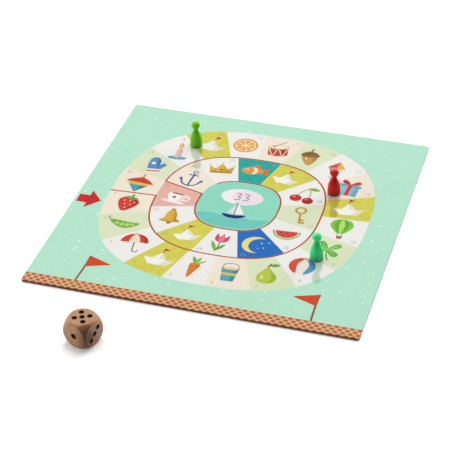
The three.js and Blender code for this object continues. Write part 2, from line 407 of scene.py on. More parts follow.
motifs["tulip"] = [
    (line([(0, .1), (.04, -.4), (0, -.98)], .09), "#6d9c48"),
    (soft([(0, -.92), (-.36, -.5), (-.52, .05), (-.12, -.38)]), "#7fb055"),
    (soft([(.03, -.85), (.34, -.5), (.44, -.1), (.1, -.42)]), "#6d9c48"),
    (soft(both_sides((0, .02), (-.42, .25), (-.42, .88), (-.18, .6), (0, .95))), "#d9526b"),
    (soft([(0, .06), (-.2, .35), (0, .86), (.2, .35)]), "#ec8496"),
]
clover_veins = [[(-.24, .24), (-.46, .46)], [(.24, .24), (.46, .46)],
                [(-.26, -.16), (-.5, -.3)], [(.26, -.16), (.5, -.3)]]
motifs["clover"] = [
    (line([(0, 0), (.1, -.5), (.34, -.95)], .08), "#5f9340"),
    (soft([(0, 0), (-.2, .5), (-.5, .7), (-.7, .5), (-.5, .2)]), "#6fb24c"),
    (soft([(0, 0), (.5, .2), (.7, .5), (.5, .7), (.2, .5)]), "#7cbd57"),
    (soft([(0, 0), (-.5, -.06), (-.74, -.3), (-.6, -.56), (-.24, -.44)]), "#7cbd57"),
    (soft([(0, 0), (.24, -.44), (.6, -.56), (.74, -.3), (.5, -.06)]), "#6fb24c"),
    *[(line([(0, 0), *vein], .04), "#a9d98a") for vein in clover_veins],
]
print(f"{len(motifs)} motifs of fruit and plants")

# %% Motifs: toys
motifs["paper_boat"] = [
    (corners(*both_sides((-.95, -.05), (-.5, -.62))), "#fdfcf7"),
    (corners((.42, -.05), (.16, -.62), (.5, -.62), (.95, -.05)), "#e9e4d0"),
    (corners((-.42, -.05), (.42, -.05), (0, .6)), "#fdfcf7"),
    (corners((0, -.05), (.42, -.05), (0, .6)), "#e9e4d0"),
    (line([(0, .5), (0, .75), (0, .98)], .05), "#8a5a3c"),
    (corners((0, .98), (0, .72), (.36, .86)), "#c9372e"),
]
motifs["bucket"] = [
    (line([(-.5, .36), (-.32, .82), (.32, .82), (.5, .36)], .05), "#8a6a4a"),
    (corners(*both_sides((-.5, .35), (-.36, -.75))), "#58a8b9"),
    (corners((.2, .35), (.14, -.75), (.36, -.75), (.5, .35)), "#448d9e"),
    (corners(*both_sides((-.46, 0), (-.43, -.24))), "#f1c351"),
    (oval(0, .35, .5, .13), "#3d8191"),
    (oval(0, .37, .43, .1), "#ead29c"),
]
motifs["ball"] = [
    (oval(0, 0, .78, .78, steps=36), "#f8f3e7"),
    (soft([(0, .76), (-.3, .1), (-.2, -.74), (-.6, -.48), (-.76, 0), (-.56, .5)]), "#e2564c"),
    (soft([(0, .76), (.35, .15), (.25, -.72), (.6, -.48), (.76, 0), (.54, .52)]), "#5b9fcb"),
    (oval(0, .66, .17, .09), "#f1c04f"),
]
motifs["balloon"] = [
    (line([(-.15, -.4), (-.14, -.55), (-.13, -.68)], .03), "#7a5a3c"),
    (line([(.15, -.4), (.14, -.55), (.13, -.68)], .03), "#7a5a3c"),
    (soft(both_sides((0, 1), (-.5, .84), (-.68, .36), (-.44, -.12), (-.16, -.42))), "#83c94b"),
    (soft(both_sides((0, .98), (-.34, .72), (-.4, .3), (-.26, -.16), (-.1, -.42))), "#6bb03a"),
    (soft(both_sides((0, .97), (-.15, .6), (-.16, .2), (-.05, -.42))), "#b8e07f"),
    (corners(*both_sides((-.18, -.66), (-.14, -.95))), "#a9774a"),
    (corners(*both_sides((-.18, -.66), (-.17, -.74))), "#8a5c36"),
]
motifs["gift"] = [
    (soft([(0, .4), (-.3, .82), (-.56, .8), (-.5, .5)]), "#c93a35"),
    (soft([(0, .4), (.5, .5), (.56, .8), (.3, .82)]), "#d9493f"),
    (corners(*both_sides((-.6, .2), (-.6, -.75))), "#8cc2d4"),
    (corners((.3, .2), (.3, -.75), (.6, -.75), (.6, .2)), "#73adc2"),
    (corners(*both_sides((-.68, .42), (-.68, .18))), "#6aa6bd"),
    (corners(*both_sides((-.12, .42), (-.12, -.75))), "#d9493f"),
]
motifs["kite"] = [
    (line([(0, -.6), (.18, -.72), (-.12, -.84), (.1, -.98)], .05), "#8a5a3c"),
    (corners((0, .95), (-.56, .22), (0, .22)), "#e3594d"),
    (corners((0, .95), (0, .22), (.56, .22)), "#f1bf4c"),
    (corners((-.56, .22), (0, -.6), (0, .22)), "#5caab8"),
    (corners((0, .22), (0, -.6), (.56, .22)), "#f6e9cf"),
]
motifs["drum"] = [
    (corners(*both_sides((-.62, .3), (-.62, -.5))), "#cb4b42"),
    (oval(0, -.5, .62, .2), "#cb4b42"),
    (corners((.26, .2), (.26, -.66), (.62, -.5), (.62, .3)), "#b03c36"),
    (line([(-.6, .22), (-.3, -.62), (0, .12), (.3, -.62), (.6, .22)], .06), "#f8e7cb"),
    (oval(0, .3, .66, .24), "#e7c25c"),
    (oval(0, .32, .58, .18), "#f8f1e0"),
    (line([(-.3, .36), (.1, .66), (.5, .95)], .07), "#b98a58"),
    (oval(-.3, .36, .08, .07), "#8f6238"),
]
motifs["top"] = [
    (line([(0, .5), (0, .75), (0, .98)], .14), "#c9a06a"),
    (soft(both_sides((-.12, .6), (-.68, .28), (-.76, .05))), "#cf4a40"),
    (corners(*both_sides((-.76, .06), (-.6, -.2))), "#f2c857"),
    (corners((-.6, -.2), (0, -.96), (.6, -.2)), "#53a2aa"),
    (corners((.14, -.2), (0, -.96), (.6, -.2)), "#3f868f"),
]
print(f"{len(motifs)} motifs with the toys")

# %% Motifs: things at home
motifs["umbrella"] = [
    (line([(0, .98), (0, -.3), (0, -.62), (.08, -.8), (.24, -.82), (.32, -.62)], .07), "#6b4a35"),
    (arc(0, .1, .82, 0, 180, 28), "#d9493f"),
    (soft([(-.3, .1), (-.24, .55), (0, .9), (.24, .55), (.3, .1), (0, .1)]), "#f7e6cb"),
    (soft([(.56, .1), (.52, .5), (.2, .88), (.64, .6), (.81, .12)]), "#b93a34"),
]
motifs["candle"] = [
    (oval(0, -.74, .6, .18), "#5b9bb0"),
    (oval(0, -.7, .44, .11), "#7cb8ca"),
    (corners((-.18, -.7), (.18, -.7), (.18, .24), (-.18, .24)), "#f3c9c0"),
    (corners((.05, -.7), (.18, -.7), (.18, .24), (.05, .24)), "#e3aba1"),
    (line([(0, .2), (0, .3), (.02, .4)], .04), "#4a3a34"),
    (soft([(0, .96), (-.16, .58), (0, .34), (.16, .58)]), "#f2a63c"),
    (soft([(0, .74), (-.07, .54), (0, .42), (.07, .54)]), "#fbe38f"),
]
motifs["mitten"] = [
    (soft([(-.35, -.45), (-.42, .3), (-.25, .8), (.12, .85), (.32, .5), (.3, .1), (.55, .25), (.72, .05),
           (.5, -.25), (.32, -.45)]), "#5d92c4"),
    (soft([(.05, .82), (.3, .5), (.28, .05), (.3, -.4), (.14, -.4), (.16, .1)]), "#4a7bab"),
    (oval(-.12, .22, .14, .14), "#f7f1e6"),
    (corners((-.46, -.4), (-.46, -.84), (.42, -.84), (.4, -.4)), "#f7f1e6"),
    (corners((-.46, -.56), (-.46, -.68), (.41, -.68), (.41, -.56)), "#e25a50"),
]
motifs["cup"] = [
    (oval(0, -.64, .86, .14), "#fbf3ee"),
    (line([(.46, .2), (.86, .14), (.8, -.26), (.42, -.32)], .12), "#fdfaf6"),
    (soft(both_sides((-.56, .35), (-.5, -.3), (-.26, -.6))), "#fdfaf6"),
    (soft([(.3, .3), (.54, .3), (.48, -.3), (.2, -.58), (.3, -.25)]), "#efdcd5"),
    (oval(0, .35, .56, .15), "#e5cfc7"),
    (oval(0, .33, .46, .1), "#b57e5c"),
    (oval(-.12, -.12, .13, .13), "#d4574f"),
]
motifs["bell"] = [
    (oval(0, .74, .17, .17), "#c79630"),
    (oval(0, -.7, .15, .15), "#a2722a"),
    (soft(both_sides((-.18, .62), (-.36, .3), (-.42, -.2), (-.68, -.5), (0, -.58))), "#e3b746"),
    (soft([(.1, .6), (.34, .28), (.4, -.2), (.6, -.5), (.24, -.54), (.22, -.1)]), "#c9982f"),
    (line([(-.68, -.5), (0, -.6), (.68, -.5)], .1), "#b98828"),
]
motifs["key"] = [
    (line(arc(0, .52, .32, -85, 265, 16), .16), "#cba53f"),
    (line([(0, .22), (0, -.4), (0, -.92)], .15), "#cba53f"),
    (corners((0, -.92), (.36, -.92), (.36, -.76), (0, -.76)), "#b48e2e"),
    (corners((0, -.62), (.28, -.62), (.28, -.47), (0, -.47)), "#b48e2e"),
]
motifs["crown"] = [
    (corners((-.74, -.5), (.74, -.5), (.86, .42), (.42, 0), (0, .66), (-.42, 0), (-.86, .42)), "#e6be4a"),
    (corners((.1, -.5), (.74, -.5), (.86, .42), (.42, 0), (.1, .5)), "#d3a63a"),
    (corners((-.74, -.5), (.74, -.5), (.76, -.28), (-.76, -.28)), "#c08c2a"),
    *[(oval(x, y, .09, .09, steps=16), "#f5e09a") for x, y in [(-.86, .46), (0, .7), (.86, .46)]],
    (oval(0, -.08, .11, .13, steps=18), "#cf4a40"),
    *[(oval(x, -.14, .08, .1, steps=16), "#53a2aa") for x in (-.42, .42)],
]
print(f"{len(motifs)} motifs with the things at home")

# %% Motifs: sea and sky
moon_stars = [(.34, .3, .06), (.6, -.12, .05), (.3, -.3, .04), (.75, .5, .05)]
motifs["moon"] = [
    (np.vstack([arc(0, 0, .86, 62, 298, 30), arc(.34, 0, .76, 270, 90, 24)]), "#f7e592"),
    *[(oval(x, y, radius, radius, steps=12), "#f7e592") for x, y, radius in moon_stars],
]
motifs["fish"] = [
    (soft([(.42, 0), (.95, .42), (.86, 0), (.95, -.42)]), "#e27a2c"),
    (soft([(-.2, .34), (.08, .74), (.34, .28)]), "#e27a2c"),
    (soft([(-.92, 0), (-.45, .42), (.2, .34), (.6, 0), (.2, -.34), (-.45, -.42)]), "#f6a04b"),
    (soft([(-.16, .4), (-.04, 0), (-.16, -.4), (.06, -.36), (.18, 0), (.06, .37)]), "#fdeeda"),
    (oval(-.56, .1, .11, .11), "#fdfaf2"),
    (oval(-.58, .1, .055, .055, steps=14), "#2c2a3a"),
]
motifs["anchor"] = [
    (line(arc(0, .78, .15, -70, 250, 12), .08), "#3f5f8c"),
    (line([(0, .64), (0, 0), (0, -.8)], .13), "#3f5f8c"),
    (line([(-.36, .42), (0, .42), (.36, .42)], .11), "#3f5f8c"),
    (line([(-.7, -.2), (-.45, -.66), (0, -.84), (.45, -.66), (.7, -.2)], .12), "#3f5f8c"),
    (corners((-.88, -.24), (-.54, -.3), (-.72, .04)), "#3f5f8c"),
    (corners((.54, -.3), (.88, -.24), (.72, .04)), "#3f5f8c"),
]
motifs["sailboat"] = [
    (line([(0, -.45), (0, .3), (0, .98)], .06), "#2b3173"),
    (soft([(.06, .95), (.32, .4), (.66, -.24), (.3, -.3), (.06, -.32)]), "#fbf8f2"),
    (soft([(-.06, .8), (-.26, .3), (-.52, -.26), (-.24, -.3), (-.06, -.3)]), "#e8e4ee"),
    (soft([(-.86, -.42), (-.52, -.78), (0, -.86), (.52, -.78), (.86, -.42), (0, -.48)]), "#2b3173"),
    (corners((0, .98), (0, .84), (-.26, .9)), "#c9372e"),
]
print(f"{len(motifs)} motifs in all")

# %% [markdown]
# ## The track
# The track is a squircle, a square with very round corners, in two laps round a medallion. The cells of a
# lap are equally long, so the angles between them come from the length walked along the lap, not from a
# clock face.

# %% Track cells
squareness = 2.6
track_middle = np.array([0.0, 6.0])
outer_reach, lap_reach, medallion_reach = 122.0, 78.0, 38.0
outer_start, inner_start = 183.0, 165.0
paper_white, cream, pale_green, mustard = "#f7f5f0", "#f9eedc", "#e1e9c6", "#dad55c"
pink, deep_blue, teal, medallion_mint = "#eeb9ab", "#2f72c1", "#2fa79f", "#93ddc5"


def track_edge(reach, angle):
    """A squircle: a ray meets it at the reach over the p-norm of its cosine and sine, p the squareness."""
    cosine, sine = np.cos(angle), np.sin(angle)
    distance = reach / (np.abs(cosine) ** squareness + np.abs(sine) ** squareness) ** (1 / squareness)
    return track_middle + np.stack([distance * cosine, distance * sine], axis=-1)


def even_angles(reach, count, start, fine_steps=2000):
    """Angles that cut one lap into equal lengths, from the length walked along a fine copy of it."""
    fine = np.radians(start) + np.linspace(0, 2 * np.pi, fine_steps + 1)
    steps = np.linalg.norm(np.diff(track_edge(reach, fine), axis=0), axis=1)
    walked = np.concatenate([[0], np.cumsum(steps)])
    return np.interp(np.linspace(0, walked[-1], count + 1), walked, fine)


def lap(inner, outer, start, cells, steps=14):
    """Prints one lap: each cell's outline runs along the outer squircle and back along the inner one.

    It returns each cell's motif, the angle of its middle and the angle where it starts."""
    bounds = even_angles((inner + outer) / 2, len(cells), start)
    places = []
    for (colour, motif), first, last in zip(cells, bounds[:-1], bounds[1:]):
        angle = np.linspace(first, last, steps)
        ink(np.vstack([track_edge(outer, angle), track_edge(inner, angle[::-1])]), colour)
        places.append((motif, (first + last) / 2, first))
    return places


outer_cells = [
    (cream, "strawberry"), (pale_green, "pea_pod"), (paper_white, "umbrella"), (mustard, "paper_boat"),
    (paper_white, "carrot"), (cream, "bucket"), (pale_green, "pear"), (paper_white, "ball"),
    (pale_green, "clover"), (paper_white, "balloon"), (mustard, "paper_boat"), (cream, "gift"),
    (paper_white, "kite"), (pale_green, "acorn"), (cream, "drum"), (paper_white, "orange"),
    (mustard, "paper_boat"), (paper_white, "candle"), (pale_green, "mitten"), (cream, "top")]
inner_cells = [
    (pink, "cup"), (paper_white, "bell"), (mustard, "paper_boat"), (paper_white, "tulip"),
    (deep_blue, "moon"), (paper_white, "melon"), (pale_green, "key"), (paper_white, "cherries"),
    (mustard, "paper_boat"), (teal, "fish"), (paper_white, "crown"), (cream, "anchor")]
outer_places = lap(lap_reach, outer_reach, outer_start, outer_cells)
inner_places = lap(medallion_reach, lap_reach, inner_start, inner_cells)
ink(track_edge(medallion_reach, np.linspace(0, 2 * np.pi, 96, endpoint=False)), medallion_mint)
print(f"{len(outer_places)} outer and {len(inner_places)} inner cells")

# %% Track line and motifs
line_width, line_red = 1.5, "#b5473c"
outer_motif_size, inner_motif_size = 15.5, 14.0
motif_tilts = (-7, 4, 8, -4)
for reach, start, end in [(lap_reach, outer_start, inner_start + 360),
                          (medallion_reach, inner_start, inner_start + 330)]:
    ink(line(track_edge(reach, np.radians(np.linspace(start, end, 60))), line_width), line_red)
for inner, outer, angle in [(lap_reach, outer_reach, outer_start),
                            (medallion_reach, lap_reach, inner_start)]:
    reaches = np.array([inner, (inner + outer) / 2, outer])
    ink(line([track_edge(reach, math.radians(angle)) for reach in reaches], line_width), line_red)

for places, reach, size in [(outer_places, (outer_reach + lap_reach) / 2, outer_motif_size),
                            (inner_places, (lap_reach + medallion_reach) / 2 + 1, inner_motif_size)]:
    for count, (motif, angle, _) in enumerate(places):
        stamp(motifs[motif], track_edge(reach, angle), size, motif_tilts[count % len(motif_tilts)])
print(f"{len(printed)} printed shapes with the motifs")

# %% Medallion, start arrow and flags
label = track_middle + (0, 14)
sea_outline = [(-33, -19), (-18, -16.5), (-6, -19), (6, -16.5), (18, -19), (33, -16.5), (27, -28),
               (12, -34.5), (-12, -34.5), (-27, -28)]
ink(oval(*label, 20, 12.5, steps=40), "#fbf6f6")
ink(oval(label[0] + 5, label[1], 14.5, 11.5, steps=40), "#f7e7f0")
ink(soft([track_middle + point for point in sea_outline]), "#74c9bd")
stamp(motifs["sailboat"], track_middle + (0, -9), 13, 3)

ink(corners((-147, -26), (-137, -26), (-137, -34), (-124.5, -20), (-137, -6), (-137, -14), (-147, -14)),
    "#cf3034")
pole_foot, pole_middle, pole_top, pole_width = -138.5, -120, -102, 1.8
flag_length, flag_height = 22, 16
for foot, way in [(-104, 1), (106, -1)]:
    pole = foot + way
    tip = (pole + flag_length * way, pole_top - flag_height / 2)
    ink(line([(foot, pole_foot), (pole, pole_middle), (pole, pole_top)], pole_width), "#8a5a3c")
    ink(corners((pole, pole_top), (pole, pole_top - flag_height), tip), "#d9502f")
print(f"{len(printed)} printed shapes")

# %% [markdown]
# ## The numbers
# A race game needs numbers. They could come from a font, but brushed digits suit the picture better: each
# is one to three strokes of even width, drawn half a unit wide and one unit tall.

# %% Numbers
strokes = {
    "0": [[(.03, .5), (-.22, .28), (-.24, -.22), (0, -.5), (.24, -.22), (.24, .22), (.12, .46)]],
    "1": [[(-.14, .28), (-.05, .38), (.03, .47)], [(.03, .5), (.03, 0), (.03, -.5)]],
    "2": [[(-.22, .28), (-.1, .48), (.12, .46), (.2, .22), (.02, -.12), (-.24, -.45)],
          [(-.25, -.45), (0, -.45), (.25, -.45)]],
    "3": [[(-.2, .42), (.05, .5), (.2, .28), (-.02, .05)],
          [(-.02, .05), (.23, -.12), (.12, -.45), (-.22, -.42)]],
    "4": [[(.1, .5), (.1, 0), (.1, -.5)], [(.1, .5), (-.08, .17), (-.25, -.15)],
          [(-.25, -.15), (0, -.15), (.25, -.15)]],
    "5": [[(.2, .45), (.02, .45), (-.16, .45)], [(-.16, .5), (-.18, .28), (-.2, .06)],
          [(-.2, .06), (.06, .12), (.23, -.14), (.08, -.46), (-.22, -.42)]],
    "6": [[(.16, .48), (-.12, .26), (-.24, -.14), (-.06, -.48), (.2, -.34), (.16, -.04), (-.08, .02)]],
    "7": [[(-.22, .45), (0, .45), (.24, .45)], [(.22, .48), (.08, 0), (-.06, -.5)]],
    "8": [[(-.02, .05), (-.17, .18), (-.14, .42), (0, .5), (.14, .42), (.17, .18), (.06, .08)],
          [(-.02, .01), (-.22, -.16), (-.18, -.42), (0, -.5), (.18, -.42), (.22, -.16), (.06, -.02)]],
}
strokes["9"] = [[(-x, -y) for x, y in stroke] for stroke in strokes["6"]]
digit_step, stroke_width = 0.72, 0.1
cell_number_height, goal_number_height = 3.8, 11
outer_number_inset, inner_number_inset, number_from_line = 6, 5.5, 5.0


def number(value, middle, height, colour):
    """Prints a number: the strokes of its digits side by side, scaled to a height, centred on a point."""
    text = str(value)
    for place, digit in enumerate(text):
        offset = ((place - (len(text) - 1) / 2) * digit_step, 0)
        for stroke in strokes[digit]:
            ink((line(stroke, stroke_width) + offset) * height + middle, colour)


counter = 0
for places, reach in [(outer_places, outer_reach - outer_number_inset),
                      (inner_places, lap_reach - inner_number_inset)]:
    for _, _, first in places:
        counter += 1
        place = track_edge(reach, first + number_from_line / reach)
        number(counter, place, cell_number_height, "#8b8d8c")
number(counter + 1, label, goal_number_height, "#93708f")
print(f"numbers 1 to {counter + 1}, {len(printed)} printed shapes in all")

# %% [markdown]
# ## The laminated print
# The sheet is offset print on paper under a clear gloss film. The film gives the eye a soft mirror: pawns
# show faintly upside down in it. The inks look like gouache, a little uneven. The mint field with its white
# specks and the scale pattern along the front edge are worked out in the shader, in millimetres from the
# middle of the board, and the printed shapes come from a colour stored on each face.

# %% Mint field with specks
wash_width = 45.0
speck_spacing, speck_blur = 12.0, 0.3
least_speck, largest_speck = -1.0, 1.3


def speckled_field(add, place):
    """The open field's colour, and its washes: two close mints in broad washes, with white specks.

    A Voronoi pattern scatters the specks. Each has a chance radius between the two limits, and those with a
    radius below nought aren't printed."""
    wash = add("TexNoise", {"Vector": place, "Scale": 1 / wash_width, "Detail": 3.0})
    mint = add("Mix", {"Factor": wash, "A": linear("#b9ead1"), "B": linear("#bfedd4")}, data_type="RGBA")
    specks = add("TexVoronoi", {"Vector": place, "Scale": 1 / speck_spacing}, voronoi_dimensions="2D")
    lot = add("SeparateColor", {0: specks.outputs["Color"]})
    radius = add("MapRange", {"Value": lot, "To Min": least_speck / speck_spacing,
                              "To Max": largest_speck / speck_spacing})
    outside = add("Math", {0: specks.outputs["Distance"], 1: radius}, operation="SUBTRACT")
    speck = add("MapRange", {"Value": outside, "From Min": -speck_blur / speck_spacing,
                             "From Max": speck_blur / speck_spacing, "To Min": 0.85, "To Max": 0.0})
    field = add("Mix", {"Factor": speck, "A": mint, "B": linear("#f6fff9")}, data_type="RGBA")
    return field, wash


print("mint field ready")

# %% Scales of the front strip
scale_spacing, scale_rows = 6.6, 6.8
scale_half_wide, scale_half_high = 2.0, 1.2
scale_stretch = (scale_spacing / scale_half_wide, scale_rows / scale_half_high, 0)
scale_full_share, scale_bare_share = 0.7, 1.15


def oval_scales(add, unrolled):
    """How far a point is in an oval scale, and its place in its cell from -0.5 to 0.5.

    Two sets of cells, half a cell apart, have one scale each in their middles. A scale fades between two
    shares of its half axes. The place is that in the last set."""
    scales = []
    for shift in (0.0, 0.5):
        cell = add("VectorMath", {0: unrolled, 1: (1 / scale_spacing, 1 / scale_rows, 0),
                                  2: (shift, shift, 0)}, operation="MULTIPLY_ADD")
        inside = add("VectorMath", {0: cell}, operation="FRACTION")
        centred = add("VectorMath", {0: inside, 1: (0.5, 0.5, 0)}, operation="SUBTRACT")
        stretched = add("VectorMath", {0: centred, 1: scale_stretch}, operation="MULTIPLY")
        distance = add("VectorMath", {0: stretched}, operation="LENGTH")
        scales.append(add("MapRange", {"Value": distance, "From Min": scale_full_share,
                                       "From Max": scale_bare_share, "To Min": 1.0, "To Max": 0.0}))
    scale = add("Math", {0: scales[0], 1: scales[1]}, operation="MAXIMUM")
    return scale, centred


print(f"scales every {scale_spacing} mm")

# %% Scale strip along the front edge
half_board = board_side / 2
strip_depth = 12.0
tint_width = 9.0
net_core, net_edge = 0.02, 0.10
# Depths down the wall between which the painted shade fades in.
wall_shade_full_depth, wall_shade_end_depth = -0.9, -0.1


def scale_strip(add, axes):
    """The strip's colour, and its depth: rows of oval scales in a pale net, painted darker on the wall as
    painted shade.

    The strip runs over the front edge and down it, so its depth adds the way back to the way down."""
    inward = add("Math", {0: axes.outputs[1], 1: half_board - board_top})
    depth = add("Math", {0: inward, 1: axes.outputs[2]})
    unrolled = add("CombineXYZ", {0: axes.outputs[0], 1: depth})
    scale, centred = oval_scales(add, unrolled)
    tint = add("TexNoise", {"Vector": unrolled, "Scale": 1 / tint_width, "Detail": 1.0})
    spread = add("MapRange", {"Value": tint, "From Min": 0.35, "From Max": 0.65})
    ground = add("Mix", {"Factor": spread, "A": linear("#dfa672"), "B": linear("#e4957a")},
                 data_type="RGBA")
    brown = add("Mix", {"Factor": spread, "A": linear("#a5743a"), "B": linear("#b55f47")},
                data_type="RGBA")
    filled = add("Mix", {"Factor": scale, "A": ground, "B": brown}, data_type="RGBA")

    # Each scale has a dark outline, which is strongest where its soft edge is half way.
    half_way = add("Math", {0: scale, 1: 0.5}, operation="PINGPONG")
    outline = add("Math", {0: half_way, 1: 1.5}, operation="MULTIPLY")
    plain = add("Mix", {"Factor": outline, "A": filled, "B": linear("#6f411f")}, data_type="RGBA")

    # Between the scales run pale lines: there the two shares of a cell, across and down, add up to a half.
    # Both sets of cells have the same lines, so one of them serves.
    shares = add("VectorMath", {0: centred}, operation="ABSOLUTE")
    added = add("VectorMath", {0: shares, 1: (1, 1, 0)}, operation="DOT_PRODUCT")
    off_net = add("Math", {0: added, 1: 0.5}, operation="SUBTRACT")
    near_net = add("Math", {0: off_net}, operation="ABSOLUTE")
    net = add("MapRange", {"Value": near_net, "From Min": net_core, "From Max": net_edge, "To Min": 0.85,
                           "To Max": 0.0})
    netted = add("Mix", {"Factor": net, "A": plain, "B": linear("#f2d2a6")}, data_type="RGBA")

    # On the wall a dark brown, painted shade, nearly hides the pattern.
    wall_shade = add("MapRange", {"Value": depth, "From Min": wall_shade_full_depth, "From Max": wall_shade_end_depth,
                               "To Min": 0.9, "To Max": 0.0})
    strip = add("Mix", {"Factor": wall_shade, "A": netted, "B": linear("#5e3428")}, data_type="RGBA")
    return strip, depth


print(f"scale strip ready, {strip_depth} mm deep")

# %% Laminated print material
paper_shade = "#dfdfdf"
brush_width, brush_strength = 5.0, 0.6
film_index = 3.6


def laminated_print():
    """Gloss-laminated offset print: field, specks and scale strip by place, shapes by face colour."""
    material, add = new_material("gloss_laminated_print")
    place = place_in_mm(add, board_middle)
    axes = add("SeparateXYZ", {0: place})
    field, wash = speckled_field(add, place)
    strip, depth = scale_strip(add, axes)
    on_strip = add("Math", {0: depth, 1: strip_depth}, operation="LESS_THAN")
    bare = add("Mix", {"Factor": on_strip, "A": field, "B": strip}, data_type="RGBA")
    shapes = add("Attribute", attribute_name="ink")
    inked = add("Mix", {"Factor": shapes.outputs["Alpha"], "A": bare, "B": shapes.outputs["Color"]},
                data_type="RGBA")

    # Paper under a film gives back about three quarters of the light, which dims all inks alike.
    on_paper = add("Mix", {"Factor": 1.0, "A": inked, "B": linear(paper_shade)}, data_type="RGBA",
                   blend_type="MULTIPLY")

    # Gouache lies unevenly: strong inks show the brush, and pale ones hardly do.
    brush = add("TexNoise", {"Vector": place, "Scale": 1 / brush_width, "Detail": 5.0})
    strength = add("SeparateColor", {0: inked}, mode="HSV")
    dry = add("MapRange", {"Value": brush, "From Min": 0.3, "From Max": 0.7})
    strong = add("Math", {0: strength.outputs[1], 1: 2.0}, operation="POWER")
    uneven = add("Math", {0: dry, 1: strong}, operation="MULTIPLY")
    amount = add("Math", {0: uneven, 1: brush_strength}, operation="MULTIPLY")
    paint = add("Mix", {"Factor": amount, "A": on_paper, "B": linear("#ced4d4")}, data_type="RGBA",
                blend_type="MULTIPLY")
    gloss = add("MapRange", {"Value": wash, "To Min": 0.05, "To Max": 0.10})
    skin = add("Bump", {"Height": brush, "Strength": 0.08, "Distance": 0.02 * MM})

    # A clear film mirrors less than a tenth of the light at the camera's angle. Here it is set stronger, so
    # that the pawns show in it as on the photographed board, and the inks beneath tint what it mirrors.
    shader = add("BsdfPrincipled", {"Base Color": paint, "Roughness": gloss, "IOR": film_index,
                                    "Specular Tint": inked, "Normal": skin})
    add("OutputMaterial", {"Surface": shader})
    return material


laminated = laminated_print()
print(f"{laminated.name}: {len(laminated.node_tree.nodes)} nodes")

# %% [markdown]
# ## The printed sheet
# On the real board one printed sheet covers both leaves. It is turned down over the outer edges, glued
# beneath, and slit at both ends of the fold so that the board can close. The flat top is cut along every
# printed outline, so that each small face has one ink and the print stays sharp at any distance. The edge
# is a profile carried along each leaf's outline: a small round, the wall, another round and the turned-in
# part. The paper's thickness comes from a Solidify modifier.

# %% Cut a flat region along the printed outlines
inside_outlines = 1  # the triangulation's kind of output that drops everything outside the outlines
merge_distance = 1e-5


def cut_along_print(boundary, extra_points, extra_edges):
    """Triangles of a flat region whose edges follow every printed outline and some extra lines.

    The outlines go to a constrained Delaunay triangulation, which says which of them hold each triangle.
    The last one printed is on top and gives the ink. Triangles outside the boundary are dropped."""
    outlines = [boundary] + [outline for outline, _ in printed]
    colours = np.array([(0, 0, 0, 0)] + [colour for _, colour in printed])
    ends = np.cumsum([len(outline) for outline in outlines])
    loops = [list(range(end - len(outline), end)) for outline, end in zip(outlines, ends)]
    points = np.vstack(outlines + [extra_points])
    edges = [(int(ends[-1]) + first, int(ends[-1]) + second) for first, second in extra_edges]
    cut_points, _, triangles, _, _, holders = delaunay_2d_cdt(
        [Vector(point) for point in points], edges, loops, inside_outlines, merge_distance, True)
    kept = [(triangle, max(held)) for triangle, held in zip(triangles, holders) if 0 in held]
    return (np.array([tuple(point) for point in cut_points]), np.array([triangle for triangle, _ in kept]),
            colours[[top_one for _, top_one in kept]])


def weld(points, faces):
    """Points that agree to a tenth of a micrometre become one, the faces follow, and strays are dropped."""
    rounded = np.round(np.float32(points), 4)
    used = np.unique(np.concatenate([np.ravel(group) for group in faces]))
    _, first, owner = np.unique(rounded[used], axis=0, return_index=True, return_inverse=True)
    renumber = np.full(len(points), -1)
    renumber[used] = owner.ravel()
    return points[used][first], [renumber[group] for group in faces]


def grid_faces(rows, columns, start=0):
    """Quads of a grid of points that is numbered row by row: each joins two neighbours in two rows."""
    index = start + np.arange(rows * columns).reshape(rows, columns)
    quads = [index[:-1, :-1], index[1:, :-1], index[1:, 1:], index[:-1, 1:]]
    return np.stack(quads, axis=-1).reshape(-1, 4)


print("cutting helpers ready")

# %% Sheet over both leaves
corner_radius, least_radius, edge_round, turn_in = 2.0, 0.05, 0.5, 14.0
corner_steps, round_steps = 9, 7
sheet_low = right_low.z / MM
sheet_thickness = 0.2
fold_face = right_low.x / MM


def leaf_outline(inset):
    """The right leaf's outer edge from above, less an inset: front, round corner, side, corner, back."""
    radius = max(corner_radius - inset, least_radius)
    middle = half_board - max(corner_radius, inset + least_radius)
    front_corner = arc(middle, -middle, radius, -90, 0, corner_steps)
    back_corner = arc(middle, middle, radius, 0, 90, corner_steps)
    return np.vstack([(fold_face, inset - half_board), front_corner, back_corner,
                      (fold_face, half_board - inset)])


def edge_profile():
    """Inset and height down the wrapped edge: a quarter round, the wall, a quarter round, the turn-in."""
    quarter = np.linspace(0, np.pi / 2, round_steps)
    top = np.stack([edge_round * (1 - np.sin(quarter)),
                    board_top - edge_round * (1 - np.cos(quarter))], axis=1)
    bottom = np.stack([edge_round * (1 - np.cos(quarter)),
                       sheet_low + edge_round * (1 - np.sin(quarter))], axis=1)
    return np.vstack([top, bottom, (turn_in, sheet_low)])


